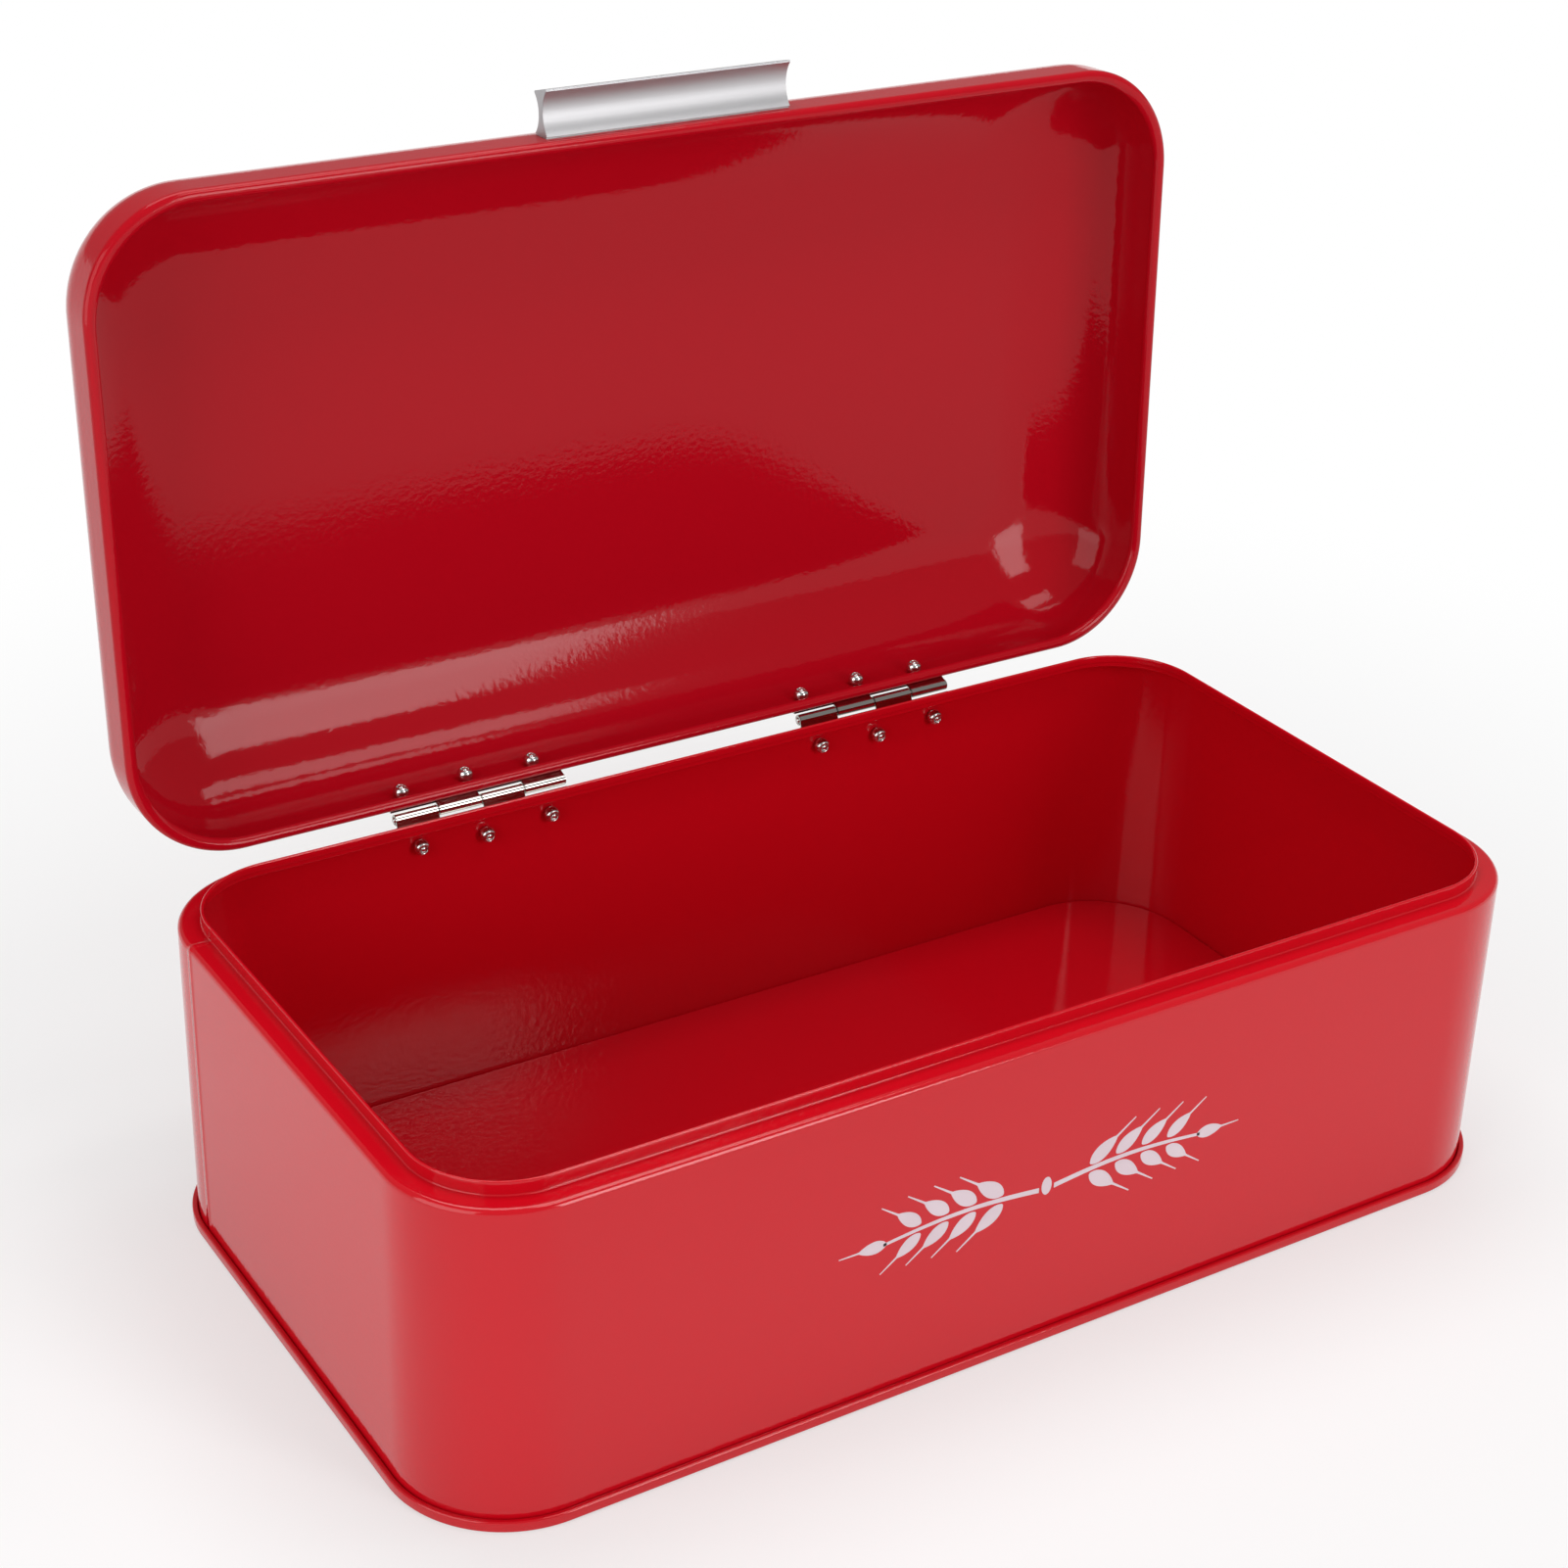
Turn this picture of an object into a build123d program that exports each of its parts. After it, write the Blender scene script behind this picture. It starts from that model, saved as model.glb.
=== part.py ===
from build123d import *
import os

# Bread box in painted sheet steel, with a hinged lid, in millimetres
# The origin is the middle of the footprint, +Z is up and the front faces -Y
# The lid is built shut and then turned open about the hinge axis, as it rests

# Body
box_width = 425.0
box_depth = 229.0
corner_radius = 39.5
sheet = 0.5
shoulder_height = 115.8
shoulder_round = 2.0
shoulder_sides = 2
neck_inset = 7.8
neck_height = 4.8
hem_depth = 2.4
fold_gap = 0.1

# Base plate and the double seam that holds it
seam_pitch = 0.73
seam_height = 4.0
hook_length = 2.2
base_rise = 4.6

# Lid
lid_gap = 2.0
lid_height = 45.5
lid_round = 33.0
crown_sides = 6
bead_width = 4.2
bead_sides = 8

# Hinges
open_angle = 92.0
axis_back = 2.8
axis_up = 1.85
hinge_spacing = 168.0
hinge_length = 68.0
knuckle_count = 4
knuckle_gap = 0.25
barrel_radius = 2.1
pin_radius = 1.05
pin_clearance = 0.05
pin_stub = 0.5
leaf_reach = 15.4
leaf_bend = 3.2
leaf_corner = 1.5
notch_clearance = 0.5

# Blind rivets, small and many, so drawn with few sides
fastener_sides = 12
rivet_pitch = 26.0
rivet_row = 10.2
rivet_stagger = 1.6
rivet_radius = 1.6
hole_clearance = 0.05
rivet_head_radius = 3.0
rivet_head_height = 1.0
bulb_radius = 2.45
bulb_length = 3.2
tail_gap = 0.25

# Handle and its screws
handle_length = 95.0
handle_reach = 16.5
handle_thickness = 8.4
handle_waist = 2.9
handle_lip = 0.7
handle_edge_round = 0.4
handle_height = 9.0
screw_spacing = 60.0
screw_radius = 1.5
screw_depth = 5.0
screw_head_radius = 2.8
screw_head_height = 1.6

# Sizes that follow
half_sheet = sheet / 2
leaf = barrel_radius - pin_radius - pin_clearance
rim_height = shoulder_height + lid_gap
axis_y = box_depth / 2 + axis_back
axis_z = shoulder_height + axis_up
hinge_axis = Axis((0, axis_y, axis_z), (1, 0, 0))
knuckle_length = hinge_length / knuckle_count
rear_wall = box_depth / 2


def strip(points):
    """A bent sheet seen end on: its middle line through the points, as thick as the sheet."""
    return trace(Polyline(*points), sheet)


def rounding(start, end, sides):
    """Points round a quarter turn of the sheet, from running up to running in."""
    turn = RadiusArc(start, end, end[0] - start[0])
    return [turn @ (side / sides) for side in range(sides + 1)]


def band(section):
    """Run a section round the outline of the box; its x is the way in from the wall's face."""
    pieces = []
    for turn in range(4):
        along, across = (box_width, box_depth) if turn % 2 == 0 else (box_depth, box_width)
        side = along - 2 * corner_radius
        start = Plane((-side / 2, -across / 2, 0), x_dir=(0, 1, 0), z_dir=(1, 0, 0))
        end = Plane((side / 2, -across / 2, 0), x_dir=(0, 1, 0), z_dir=(1, 0, 0))
        centre = Axis((side / 2, corner_radius - across / 2, 0), (0, 0, 1))
        run = extrude(start * section, side)
        corner = revolve(end * section, centre, 90)
        pieces += [Rot(0, 0, 90 * turn) * run, Rot(0, 0, 90 * turn) * corner]
    return pieces[0].fuse(*pieces[1:]).clean()


def panel(inset, bottom):
    """A flat sheet with the outline of the box, drawn in by the inset."""
    outline = RectangleRounded(
        box_width - 2 * inset,
        box_depth - 2 * inset,
        corner_radius - inset,
    )
    return Pos(0, 0, bottom) * extrude(outline, sheet)


def make_body_wall():
    """Wall with its seam hook, rounded shoulder, ledge and hemmed neck."""
    hook = half_sheet - 2 * seam_pitch
    hook_floor = half_sheet + seam_pitch
    ledge = shoulder_height - half_sheet
    bend = shoulder_height - shoulder_round
    neck = neck_inset + half_sheet
    top = shoulder_height + neck_height - half_sheet
    hem = neck + sheet + fold_gap
    points = [
        (hook, hook_floor + hook_length),
        (hook, hook_floor),
        (half_sheet, hook_floor),
        *rounding((half_sheet, bend), (shoulder_round, ledge), shoulder_sides),
        (neck, ledge),
        (neck, top),
        (hem, top),
        (hem, top - hem_depth),
    ]
    return band(strip(points))


def make_base_plate():
    """Raised floor, with an edge that wraps round the wall's hook to make the seam."""
    tuck = half_sheet - seam_pitch
    outside = half_sheet - 3 * seam_pitch
    inside = half_sheet + sheet + fold_gap
    top = seam_height - half_sheet
    points = [
        (tuck, top - hook_length + sheet),
        (tuck, top),
        (outside, top),
        (outside, half_sheet),
        (inside, half_sheet),
        (inside, base_rise),
    ]
    return band(strip(points)) + panel(inside - half_sheet, base_rise - half_sheet)


def stud(radius, start, end):
    """A length of a fastener or its hole, along Z."""
    return Pos(0, 0, start) * extrude(RegularPolygon(radius, fastener_sides), end - start)


def make_lid_shell():
    """Deep-drawn tray with a large rounding, a closed bead round its rim and the screw holes."""
    tangent = rim_height + lid_height - lid_round
    top = rim_height + lid_height
    bead = bead_width / 2
    crown = rounding((half_sheet, tangent), (lid_round, top - half_sheet), crown_sides)
    skirt = strip([(half_sheet, rim_height + bead), *crown])
    rolled = RegularPolygon(bead, bead_sides, major_radius=False, rotation=180 / bead_sides)
    rolled = Pos(bead, rim_height + bead) * rolled
    shell = band(skirt + rolled) + panel(lid_round, top - sheet)
    for x in (-screw_spacing / 2, screw_spacing / 2):
        shell -= screw_place(x) * stud(screw_radius + hole_clearance, -2 * sheet, sheet)
    return shell - rivet_holes(1)


def rivet_places(side):
    """Where the rivets of both hinges go: side 1 is the lid's row and -1 is the body's."""
    places = []
    for hinge in (-hinge_spacing / 2, hinge_spacing / 2):
        for step in (-1, 0, 1):
            rise = rivet_row + (rivet_stagger if step == 0 else 0)
            x = hinge + step * rivet_pitch
            places.append(Pos(x, rear_wall, axis_z + side * rise) * Rot(-90, 0, 0))
    return places


def rivet_holes(side):
    """Cutters for the rivet holes through the leaf and the sheet."""
    hole = stud(rivet_radius + hole_clearance, -2 * sheet, 2 * leaf)
    return [place * hole for place in rivet_places(side)]


def make_rivet():
    """A set blind rivet: its head on the leaf, its shank and the swollen tail inside."""
    tail_face = -sheet - tail_gap
    head = stud(rivet_head_radius, leaf, leaf + rivet_head_height)
    shank = stud(rivet_radius, tail_face, leaf)
    bulb = stud(bulb_radius, tail_face - bulb_length, tail_face)
    return head + shank + bulb


def make_leaf(side):
    """A hinge leaf and its knuckles, with the pin's axis along X through the origin."""
    curl = barrel_radius - leaf / 2
    flat = leaf / 2 - axis_back
    cut = barrel_radius + notch_clearance
    profile = trace(Polyline((flat, -leaf_bend - leaf), (flat, -leaf_bend), (-curl, 0)), leaf)
    profile = profile + Circle(barrel_radius) - Circle(pin_radius + pin_clearance)
    knuckle = extrude(Plane.YZ * profile, knuckle_length - knuckle_gap)
    blank = Rectangle(hinge_length, leaf_reach - cut)
    lower = blank.vertices().group_by(Axis.Y)[0]
    plate = extrude(fillet(lower, leaf_corner), leaf)
    plate = Pos(0, -axis_back, -(leaf_reach + cut) / 2) * Rot(90, 0, 0) * Pos(0, 0, -leaf) * plate
    first = 1 if side < 0 else 0
    for number in range(first, knuckle_count, 2):
        left = number * knuckle_length - hinge_length / 2 + knuckle_gap / 2
        plate += Pos(left, 0, 0) * knuckle
    return plate if side < 0 else mirror(plate, Plane.XY)


def make_pin():
    """The pin, a little longer than the barrel."""
    return Rot(0, 90, 0) * Cylinder(pin_radius, hinge_length + 2 * pin_stub)


def screw_place(x):
    """The middle of a screw hole in the lid's front, with Z along the way out."""
    return Pos(x, -box_depth / 2, rim_height + handle_height) * Rot(90, 0, 0)


def make_handle():
    """An extruded bar, hollowed above and below, drilled for its two screws."""
    half = handle_thickness / 2
    dip = handle_waist / 2
    hollow_end = handle_reach - handle_lip
    upper = ThreePointArc((handle_lip, half), (handle_reach / 2, dip), (hollow_end, half))
    lower = ThreePointArc((hollow_end, -half), (handle_reach / 2, -dip), (handle_lip, -half))
    outline = [
        upper,
        Polyline(upper @ 1, (handle_reach, half), (handle_reach, -half), lower @ 0),
        lower,
        Polyline(lower @ 1, (0, -half), (0, half), upper @ 0),
    ]
    section = make_face(outline)
    tip = section.vertices().group_by(Axis.X)[-1]
    section = fillet(tip, handle_edge_round)
    side_on = Plane((-handle_length / 2, 0, 0), x_dir=(0, -1, 0), z_dir=(-1, 0, 0))
    bar = extrude(side_on * section, -handle_length)
    bar = Pos(0, -box_depth / 2, rim_height + handle_height) * bar
    for x in (-screw_spacing / 2, screw_spacing / 2):
        bar -= screw_place(x) * stud(screw_radius + hole_clearance, 0, screw_depth + hole_clearance)
    return bar


def make_screw():
    """A pan-headed screw, its head inside the lid and its shank in the handle."""
    head = stud(screw_head_radius, -sheet - screw_head_height, -sheet)
    return head + stud(screw_radius, -sheet, screw_depth)


def save(name, shape):
    """Write one piece to its own file."""
    shape.label = name
    export_step(shape, os.path.join("parts", name + ".step"))


def opened(shape):
    """Turn a piece of the shut lid to where it rests, open on its stop."""
    return shape.rotate(hinge_axis, -open_angle)


os.makedirs("parts", exist_ok=True)

save("body_wall", make_body_wall() - rivet_holes(-1))
save("base_plate", make_base_plate())
save("lid_shell", opened(make_lid_shell()))
save("handle", opened(make_handle()))

for word, x in (("left", -screw_spacing / 2), ("right", screw_spacing / 2)):
    save(word + "_handle_screw", opened(screw_place(x) * make_screw()))

for word, x in (("left", -hinge_spacing / 2), ("right", hinge_spacing / 2)):
    at_hinge = Pos(x, axis_y, axis_z)
    save(word + "_hinge_body_leaf", at_hinge * make_leaf(-1) - rivet_holes(-1))
    save(word + "_hinge_lid_leaf", opened(at_hinge * make_leaf(1) - rivet_holes(1)))
    save(word + "_hinge_pin", at_hinge * make_pin())

rivet = make_rivet()
for row, place in enumerate(rivet_places(-1)):
    save(f"body_rivet_{row + 1}", place * rivet)
for row, place in enumerate(rivet_places(1)):
    save(f"lid_rivet_{row + 1}", opened(place * rivet))
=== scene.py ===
from math import atan2, ceil, cos, degrees, pi, radians, sin, tan

import bmesh
import bpy
from mathutils import Matrix, Vector


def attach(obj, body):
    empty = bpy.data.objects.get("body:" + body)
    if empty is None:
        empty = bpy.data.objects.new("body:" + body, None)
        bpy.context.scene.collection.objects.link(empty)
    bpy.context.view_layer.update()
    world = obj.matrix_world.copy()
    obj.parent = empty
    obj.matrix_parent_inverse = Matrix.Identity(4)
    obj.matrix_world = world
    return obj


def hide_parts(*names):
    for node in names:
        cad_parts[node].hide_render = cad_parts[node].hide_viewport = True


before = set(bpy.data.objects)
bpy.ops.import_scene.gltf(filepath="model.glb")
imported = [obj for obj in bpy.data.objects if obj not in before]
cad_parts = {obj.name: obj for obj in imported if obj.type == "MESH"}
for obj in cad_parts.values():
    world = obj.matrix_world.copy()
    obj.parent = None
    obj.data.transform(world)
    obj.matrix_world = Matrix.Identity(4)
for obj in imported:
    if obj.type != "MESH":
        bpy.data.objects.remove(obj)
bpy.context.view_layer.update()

# Sizes in millimetres, in the frame of the box: +Z up, front towards -Y
box_width = 425.0
box_depth = 229.0
corner_radius = 39.5
sheet = 0.5
half_sheet = sheet / 2
shoulder_height = 115.8
shoulder_round = 2.0
neck_inset = 7.8
neck_height = 4.8
hem_depth = 2.4
fold_gap = 0.1
seam_pitch = 0.73
seam_height = 4.0
hook_length = 2.2
base_rise = 4.6
lid_gap = 2.0
lid_height = 45.5
lid_round = 33.0
lid_blend = 42.0
bead_width = 4.2
open_angle = 92.0
axis_back = 2.8
axis_y = box_depth / 2 + axis_back
axis_z = shoulder_height + 1.85
rim_height = shoulder_height + lid_gap
hinge_spacing = 168.0
hinge_length = 68.0
knuckle_count = 4
knuckle_gap = 0.4
barrel_radius = 2.1
pin_radius = 1.05
pin_stub = 0.5
leaf_reach = 15.4
leaf_corner = 1.5
plate_start = 2.25
knuckle_edge = 0.3
rivet_pitch = 26.0
rivet_row = 10.2
rivet_stagger = 1.6
rivet_radius = 1.6
rivet_head_radius = 3.0
rivet_head_height = 1.0
leaf = 1.0
tail_gap = 0.25
handle_length = 95.0
handle_reach = 16.5
handle_thickness = 8.4
handle_waist = 2.9
handle_lip = 0.7
handle_slant = 1.7
handle_groove = 0.7
handle_tip_round = 0.45
handle_edge = 0.12
handle_height = 9.0
screw_spacing = 60.0
screw_radius = 1.5
screw_depth = 5.0
screw_head_radius = 2.8
screw_head_height = 1.6
recess_mouth = (3.2, 0.8)
recess_floor = (2.4, 0.62)
recess_depth = 0.95

# Turns a piece of the shut lid to where it rests, open
hinge_point = Vector((0, axis_y, axis_z))
opening_turn = (
    Matrix.Translation(hinge_point)
    @ Matrix.Rotation(radians(-open_angle), 4, "X")
    @ Matrix.Translation(-hinge_point)
)
to_metres = Matrix.Scale(0.001, 4)


# Sections of bent sheet, as points (inset from the wall's face, height)


def bent(points, radii, step=12.0):
    """The points with each corner rounded to its radius."""
    out = [Vector(points[0])]
    for before, corner, after, radius in zip(points, points[1:], points[2:], radii):
        before, corner, after = Vector(before), Vector(corner), Vector(after)
        a, b = (before - corner).normalized(), (after - corner).normalized()
        if radius <= 0:
            out.append(corner)
            continue
        half = a.angle(b) / 2
        centre = corner + (a + b).normalized() * radius / sin(half)
        start = corner + a * radius / tan(half) - centre
        end = corner + b * radius / tan(half) - centre
        first = atan2(start.y, start.x)
        sweep = (atan2(end.y, end.x) - first + pi) % (2 * pi) - pi
        count = max(3, ceil(abs(degrees(sweep)) / step))
        for i in range(count + 1):
            angle = first + sweep * i / count
            out.append(centre + Vector((cos(angle), sin(angle))) * radius)
    out.append(Vector(points[-1]))
    return with_margins(out)


def with_margins(line, margin=0.8):
    """The line with a point near each end of its long flats, so that they stay flat."""
    out = [line[0]]
    for start, end in zip(line, line[1:]):
        along = end - start
        if along.length > 4 * margin:
            step = along.normalized() * margin
            out += [start + step, end - step]
        out.append(end)
    return out


def beside(line, distance):
    """The line moved sideways, to its left where the distance is positive."""
    out = []
    for i, point in enumerate(line):
        ahead = (line[i + 1] - point).normalized() if i < len(line) - 1 else None
        behind = (point - line[i - 1]).normalized() if i else None
        ahead, behind = ahead or behind, behind or ahead
        normal = Vector((-(ahead + behind).y, (ahead + behind).x)).normalized()
        stretch = max(normal.dot(Vector((-ahead.y, ahead.x))), 0.3)
        out.append(point + normal * distance / stretch)
    return out


def round_end(left, right, steps=4):
    """Points of a half circle from one side of a sheet's cut edge to the other."""
    centre, arm = (left + right) / 2, (left - right) / 2
    return [
        centre + Matrix.Rotation(-pi * i / steps, 2) @ arm
        for i in range(1, steps)
    ]


def sheet_loop(points, radii):
    """A closed section: both faces of the sheet and its two rounded edges."""
    middle = bent(points, radii)
    left, right = beside(middle, half_sheet), beside(middle, -half_sheet)
    loop = left + round_end(left[-1], right[-1]) + right[::-1]
    return loop + round_end(right[0], left[0]) + [left[0]]


# Geometry node trees


def feed(tree, value, socket):
    """Feeds a socket from another socket, or sets it to a plain value."""
    if isinstance(value, bpy.types.NodeSocket):
        tree.links.new(value, socket)
    elif value is not None:
        socket.default_value = value


def math_node(tree, operation, *values, clamp=False):
    """The result of a Math node fed by sockets or numbers."""
    made = tree.nodes.new("ShaderNodeMath")
    made.operation = operation
    made.use_clamp = clamp
    for value, socket in zip(values, made.inputs):
        feed(tree, value, socket)
    return made.outputs[0]


class Tree:
    """A node tree with named inputs, and short ways to place its nodes."""

    def __init__(
        self, name, inputs, kind="GeometryNodeTree", outputs=(("Geometry", "Geometry"),)
    ):
        self.group = bpy.data.node_groups.new(name, kind)
        face = self.group.interface
        for label, socket, *default in inputs:
            made = face.new_socket(label, in_out="INPUT", socket_type="NodeSocket" + socket)
            if default:
                made.default_value = default[0]
        for label, socket in outputs:
            face.new_socket(label, in_out="OUTPUT", socket_type="NodeSocket" + socket)
        self.given = self.group.nodes.new("NodeGroupInput").outputs
        self.result = self.group.nodes.new("NodeGroupOutput").inputs

    def link(self, value, socket):
        feed(self.group, value, socket)

    def node(self, kind, inputs=(), **settings):
        made = self.group.nodes.new(kind)
        for key, value in settings.items():
            setattr(made, key, value)
        for key, value in dict(inputs).items():
            self.link(value, made.inputs[key])
        return made

    def math(self, operation, *values, clamp=False):
        return math_node(self.group, operation, *values, clamp=clamp)

    def end_painted(self, geometry):
        """Ends a geometry tree: instances made real, and one material over it all."""
        real = self.node("GeometryNodeRealizeInstances", {"Geometry": geometry})
        painted = self.node(
            "GeometryNodeSetMaterial",
            {"Geometry": real.outputs[0], "Material": self.given["Material"]},
        )
        self.link(painted.outputs[0], self.result[0])
        return self.group


def outline_tree():
    """Runs a section round the outline of the box, a rectangle with round corners."""
    tree = Tree(
        "run_round_outline",
        [
            ("Section", "Geometry"),
            ("Width", "Float"),
            ("Depth", "Float"),
            ("Corner Radius", "Float"),
            ("Corner Shrink", "Float", 1.0),
            ("Corner Steps", "Int", 16),
            ("Straight Margin", "Float"),
            ("Material", "Material"),
        ],
    )
    given, math = tree.given, tree.math
    size = tree.node("GeometryNodeAttributeDomainSize", {"Geometry": given["Section"]})
    points = size.outputs["Point Count"]
    columns = math("ADD", given["Corner Steps"], 3.0)
    around = math("MULTIPLY", columns, 4.0)
    grid = tree.node(
        "GeometryNodeMeshGrid",
        {"Vertices X": math("ADD", around, 1.0), "Vertices Y": points},
    )
    index = tree.node("GeometryNodeInputIndex").outputs[0]
    place = math("MODULO", index, points)
    row = math("FLOOR", math("DIVIDE", math("ADD", index, 0.5), points))
    column = math("MODULO", row, around)
    corner = math("FLOOR", math("DIVIDE", math("ADD", column, 0.5), columns))
    step = math("SUBTRACT", column, math("MULTIPLY", corner, columns))
    step = math("SUBTRACT", step, 1.0)
    share = math("DIVIDE", step, given["Corner Steps"], clamp=True)
    beyond = math("MAXIMUM", math("SUBTRACT", step, given["Corner Steps"]), 0.0)
    past = math("ADD", math("MINIMUM", step, 0.0), beyond)
    along = math("MULTIPLY", past, given["Straight Margin"])
    angle = math("MULTIPLY", math("ADD", corner, share), pi / 2)
    middle = math("MULTIPLY", math("ADD", corner, 0.5), pi / 2)
    position = tree.node("GeometryNodeInputPosition").outputs[0]
    sampled = tree.node(
        "GeometryNodeSampleIndex",
        {"Geometry": given["Section"], "Value": position, "Index": place},
        data_type="FLOAT_VECTOR",
    )
    section = tree.node("ShaderNodeSeparateXYZ", {"Vector": sampled.outputs[0]}).outputs
    shrink = math("MULTIPLY", section["X"], given["Corner Shrink"])
    radius = math("MAXIMUM", math("SUBTRACT", given["Corner Radius"], shrink), 0.0)
    drawn_in = math("ADD", section["X"], radius)
    placed = []
    for operation, side, turned in (("COSINE", "Width", "SINE"), ("SINE", "Depth", "COSINE")):
        centre = math("SUBTRACT", math("MULTIPLY", given[side], 0.5), drawn_in)
        centre = math("MULTIPLY", centre, math("SIGN", math(operation, middle)))
        out = math("MULTIPLY", math(operation, angle), radius)
        slide = math("MULTIPLY", math(turned, angle), along)
        slide = math("MULTIPLY", slide, -1.0 if turned == "SINE" else 1.0)
        placed.append(math("ADD", math("ADD", centre, out), slide))
    where = tree.node(
        "ShaderNodeCombineXYZ", {"X": placed[0], "Y": placed[1], "Z": section["Z"]}
    )
    moved = tree.node(
        "GeometryNodeSetPosition",
        {"Geometry": grid.outputs["Mesh"], "Position": where.outputs[0]},
    )
    merged = tree.node(
        "GeometryNodeMergeByDistance", {"Geometry": moved.outputs[0], "Distance": 0.001}
    )
    smooth = tree.node("GeometryNodeSetShadeSmooth", {"Geometry": merged.outputs[0]})
    return tree.end_painted(smooth.outputs[0])


def fastener_tree():
    """Sets one fastener at each point of the base mesh, turned to face out of its wall."""
    tree = Tree(
        "set_fasteners",
        [
            ("Places", "Geometry"),
            ("Fastener", "Object"),
            ("Turn", "Rotation"),
            ("Material", "Material"),
        ],
    )
    given = tree.given
    shape = tree.node("GeometryNodeObjectInfo", {"Object": given["Fastener"]})
    spread = tree.node(
        "GeometryNodeInstanceOnPoints",
        {
            "Points": given["Places"],
            "Instance": shape.outputs["Geometry"],
            "Rotation": given["Turn"],
        },
    )
    return tree.end_painted(spread.outputs[0])


def new_object(name, mesh):
    """An object in the scene, at the origin."""
    made = bpy.data.objects.new(name, mesh)
    bpy.context.scene.collection.objects.link(made)
    return made


def points_mesh(name, points):
    """A mesh of loose points."""
    mesh = bpy.data.meshes.new(name)
    mesh.from_pydata([tuple(p) for p in points], [], [])
    return mesh


def grown(name, points, group, values):
    """A plain mesh object grown from the points by a geometry node tree."""
    source = new_object(name + "_source", points_mesh(name + "_points", points))
    modifier = source.modifiers.new("grow", "NODES")
    modifier.node_group = group
    for item in group.interface.items_tree:
        if item.in_out == "INPUT" and item.name in values:
            modifier[item.identifier] = values[item.name]
    bpy.context.view_layer.update()
    evaluated = source.evaluated_get(bpy.context.evaluated_depsgraph_get())
    mesh = bpy.data.meshes.new_from_object(evaluated)
    bpy.data.objects.remove(source)
    mesh.name = name
    return new_object(name, mesh)


def tidy_mesh(piece, turn=None, cap=False):
    """Closes flat panels, turns the faces outwards and puts the mesh in place in metres."""
    bm = bmesh.new()
    bm.from_mesh(piece.data)
    if cap:
        bmesh.ops.holes_fill(bm, edges=[e for e in bm.edges if e.is_boundary], sides=0)
    bmesh.ops.recalc_face_normals(bm, faces=bm.faces)
    bmesh.ops.transform(bm, matrix=to_metres @ (turn or Matrix.Identity(4)), verts=bm.verts)
    for face in bm.faces:
        face.smooth = True
    bm.to_mesh(piece.data)
    bm.free()
    return piece


run_round_outline = outline_tree()
set_fasteners = fastener_tree()


def sheet_piece(name, section, material, turn=None, cap=False, corner_shrink=1.0):
    """A piece of bent sheet that follows the outline of the box."""
    values = {
        "Width": box_width,
        "Depth": box_depth,
        "Corner Radius": corner_radius,
        "Corner Shrink": corner_shrink,
        "Corner Steps": 28,
        "Straight Margin": 2.5,
        "Material": material,
    }
    points = [(p[0], 0, p[1]) for p in section]
    return tidy_mesh(grown(name, points, run_round_outline, values), turn, cap)


def turned_piece(name, profile, material, steps=10):
    """A turned piece about Z, from points (radius, height)."""
    values = {
        "Width": 0.0,
        "Depth": 0.0,
        "Corner Radius": 0.0,
        "Corner Shrink": 1.0,
        "Corner Steps": steps,
        "Straight Margin": 0.0,
        "Material": material,
    }
    return grown(name, [(-r, 0, z) for r, z in profile], run_round_outline, values)


# Finishes


def group_node(tree, group, values):
    """A shader node group placed in a material, with its own values."""
    made = tree.nodes.new("ShaderNodeGroup")
    made.node_tree = group
    for key, value in values.items():
        made.inputs[key].default_value = value
    return made


def orange_peel_group():
    """The fine ripple of a baked coat, with the slow waves of thin sheet under it."""
    tree = Tree(
        "orange_peel",
        [
            ("Peel Size", "Float", 0.0016),
            ("Peel Height", "Float", 1.0),
            ("Wave Size", "Float", 0.09),
            ("Wave Height", "Float", 1.0),
        ],
        "ShaderNodeTree",
        [("Height", "Float"), ("Patches", "Float")],
    )
    place = tree.node("ShaderNodeTexCoord").outputs["Object"]
    peel_scale = tree.math("DIVIDE", 1.0, tree.given["Peel Size"])
    peel = tree.node(
        "ShaderNodeTexNoise",
        {"Vector": place, "Scale": peel_scale, "Detail": 1.5, "Roughness": 0.45},
    )
    wave_scale = tree.math("DIVIDE", 1.0, tree.given["Wave Size"])
    wave = tree.node(
        "ShaderNodeTexNoise", {"Vector": place, "Scale": wave_scale, "Detail": 0.0}
    )
    fine = tree.math("MULTIPLY", peel.outputs["Fac"], tree.given["Peel Height"])
    slow = tree.math("MULTIPLY", wave.outputs["Fac"], tree.given["Wave Height"])
    tree.link(tree.math("ADD", fine, slow), tree.result["Height"])
    tree.link(wave.outputs["Fac"], tree.result["Patches"])
    return tree.group


def grain_group():
    """Fine lines drawn out along X, as on extruded and rolled metal."""
    tree = Tree(
        "drawn_grain",
        [("Line Width", "Float", 0.0002), ("Line Length", "Float", 0.12)],
        "ShaderNodeTree",
        [("Lines", "Float")],
    )
    place = tree.node("ShaderNodeTexCoord").outputs["Object"]
    across = tree.math("DIVIDE", 1.0, tree.given["Line Width"])
    along = tree.math("DIVIDE", 1.0, tree.given["Line Length"])
    size = tree.node("ShaderNodeCombineXYZ", {"X": along, "Y": across, "Z": across})
    stretched = tree.node(
        "ShaderNodeVectorMath", {0: place, 1: size.outputs[0]}, operation="MULTIPLY"
    )
    lines = tree.node(
        "ShaderNodeTexNoise", {"Vector": stretched.outputs[0], "Scale": 1.0, "Detail": 3.0}
    )
    tree.link(lines.outputs["Fac"], tree.result["Lines"])
    return tree.group


orange_peel = orange_peel_group()
drawn_grain = grain_group()


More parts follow.
